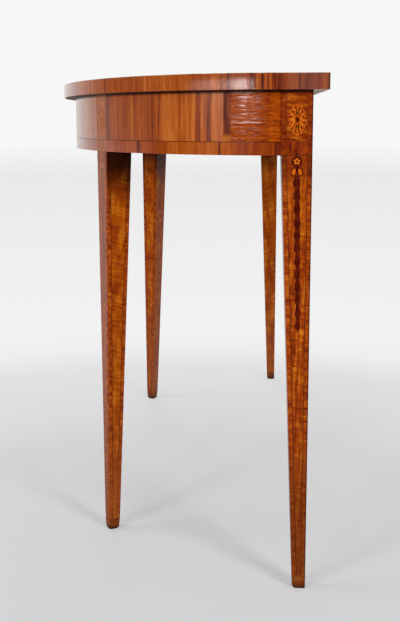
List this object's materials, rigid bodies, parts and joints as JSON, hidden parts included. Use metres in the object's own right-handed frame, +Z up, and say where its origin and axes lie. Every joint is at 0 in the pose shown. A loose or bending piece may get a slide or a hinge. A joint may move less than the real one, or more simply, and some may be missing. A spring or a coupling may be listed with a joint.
{
  "type": "demilune table",
  "caption": "Half-round side table that stands against a wall: a thin bowed top over a crossbanded frieze on square tapered legs inlaid with ovals and husks.",
  "frame": {"origin": "on the floor, under the middle of the top's bounding box", "axes": "+Z up, +X along the straight back to the right end, +Y towards the straight back, so the bow faces -Y"},
  "size_m": [1.372, 0.508, 0.838],
  "materials": {
    "satinwood_veneer": "polished, golden, with ripple figure",
    "crossband_veneer": "polished, red-brown, grain across the band",
    "dark_line": "polished, nearly black",
    "dark_inlay": "polished, dark brown",
    "light_inlay": "polished, pale gold",
    "leg_wood": "planed, brown",
    "carcase_wood": "bare, aged softwood",
    "iron_screw": "dull, dark"
  },
  "bodies": {
    "root": {"back_leg_blocks": "carcase_wood", "back_rail": "carcase_wood", "cross_rail": "carcase_wood", "end_rail_lower_course": "carcase_wood", "end_rail_middle_course": "carcase_wood", "end_rail_upper_course": "carcase_wood", "frieze_crossband": "crossband_veneer", "frieze_stringing": "dark_line", "frieze_veneer": "satinwood_veneer", "front_leg_blocks": "carcase_wood", "front_rail_lower_course": "carcase_wood", "front_rail_middle_course": "carcase_wood", "front_rail_upper_course": "carcase_wood", "husks": "dark_inlay", "left_back_leg": "leg_wood", "left_back_leg_crossbands": "crossband_veneer", "left_back_leg_cuff": "crossband_veneer", "left_back_leg_stringing": "dark_line", "left_back_leg_veneers": "satinwood_veneer", "left_front_leg": "leg_wood", "left_front_leg_crossbands": "crossband_veneer", "left_front_leg_cuff": "crossband_veneer", "left_front_leg_stringing": "dark_line", "left_front_leg_veneers": "satinwood_veneer", "paterae": "light_inlay", "right_back_leg": "leg_wood", "right_back_leg_crossbands": "crossband_veneer", "right_back_leg_cuff": "crossband_veneer", "right_back_leg_stringing": "dark_line", "right_back_leg_veneers": "satinwood_veneer", "right_front_leg": "leg_wood", "right_front_leg_crossbands": "crossband_veneer", "right_front_leg_cuff": "crossband_veneer", "right_front_leg_stringing": "dark_line", "right_front_leg_veneers": "satinwood_veneer", "top_blocks": "carcase_wood", "top_board_back": "carcase_wood", "top_board_front": "carcase_wood", "top_board_middle": "carcase_wood", "top_crossband": "crossband_veneer", "top_edge_band": "crossband_veneer", "top_field": "satinwood_veneer", "top_screws": "iron_screw", "top_stringing": "dark_line"}
  },
  "joints": []
}
